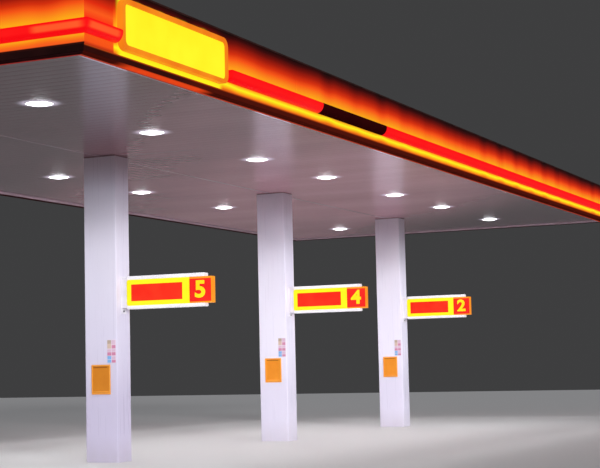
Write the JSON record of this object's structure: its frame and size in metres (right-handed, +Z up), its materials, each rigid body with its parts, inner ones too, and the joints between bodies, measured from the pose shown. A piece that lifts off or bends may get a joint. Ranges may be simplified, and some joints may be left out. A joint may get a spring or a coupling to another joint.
{
  "type": "filling station canopy",
  "caption": "Flat box-edged roof on a single row of clad columns, with lit fascia, light bar, downlights and projecting number signs.",
  "frame": {"origin": "on the ground, at the middle of the middle column's foot", "axes": "+X along the row of columns towards the end with the short overhang, +Y across towards the plain long side, +Z up"},
  "size_m": [24.352, 9.152, 5.872],
  "materials": {
    "post_steel": "grey paint on steel",
    "casing_white": "glossy white coated sheet",
    "soffit_white": "glossy pale mauve-grey coated slats",
    "downlight": "lit white drop lens in a white rim",
    "trim_gloss": "smooth glossy dark red-brown coating",
    "band_dark": "dark satin coating",
    "fascia_amber": "lit yellow panels, amber to red away from the bar",
    "bar_lit": "lit red translucent cover",
    "bar_unlit": "dark red translucent cover, unlit",
    "panel_yellow": "bare lit yellow panel",
    "roof_metal": "weathered mill-finish ribbed sheet",
    "gutter_metal": "weathered folded sheet",
    "sign_yellow": "lit yellow faces between white rails",
    "number_red": "lit red faces with plain yellow numerals",
    "bracket_metal": "white coating",
    "poster_amber": "bare amber sheet in a shallow frame",
    "plate_white": "plain plate with bare pale fields"
  },
  "bodies": {
    "root": {"post_1": "post_steel", "post_2": "post_steel", "post_3": "post_steel", "roof_frame": "post_steel", "column_casing_1": "casing_white", "column_casing_2": "casing_white", "column_casing_3": "casing_white", "soffit_near": "soffit_white", "soffit_bay_1": "soffit_white", "soffit_bay_2": "soffit_white", "soffit_far": "soffit_white", "downlights_front": "downlight", "downlights_back": "downlight", "edge_trim_front": "trim_gloss", "edge_trim_far": "trim_gloss", "edge_trim_back": "trim_gloss", "edge_trim_near": "trim_gloss", "lower_band_front": "band_dark", "lower_band_far": "band_dark", "lower_band_back": "band_dark", "lower_band_near": "band_dark", "fascia_front": "fascia_amber", "fascia_far": "fascia_amber", "fascia_back": "fascia_amber", "fascia_near": "fascia_amber", "light_bar_front_corner": "bar_lit", "light_bar_front_first": "bar_lit", "light_bar_front_last": "bar_lit", "light_bar_far": "bar_lit", "light_bar_back": "bar_lit", "light_bar_near": "bar_lit", "light_bar_front_unlit": "bar_unlit", "bare_sign_panel": "panel_yellow", "roof_sheet": "roof_metal", "roof_gutter": "gutter_metal", "number_sign_1": "sign_yellow", "number_sign_2": "sign_yellow", "number_sign_3": "sign_yellow", "number_box_1": "number_red", "number_box_2": "number_red", "number_box_3": "number_red", "sign_brackets": "bracket_metal", "poster_frames": "poster_amber", "info_plates": "plate_white"}
  },
  "joints": []
}
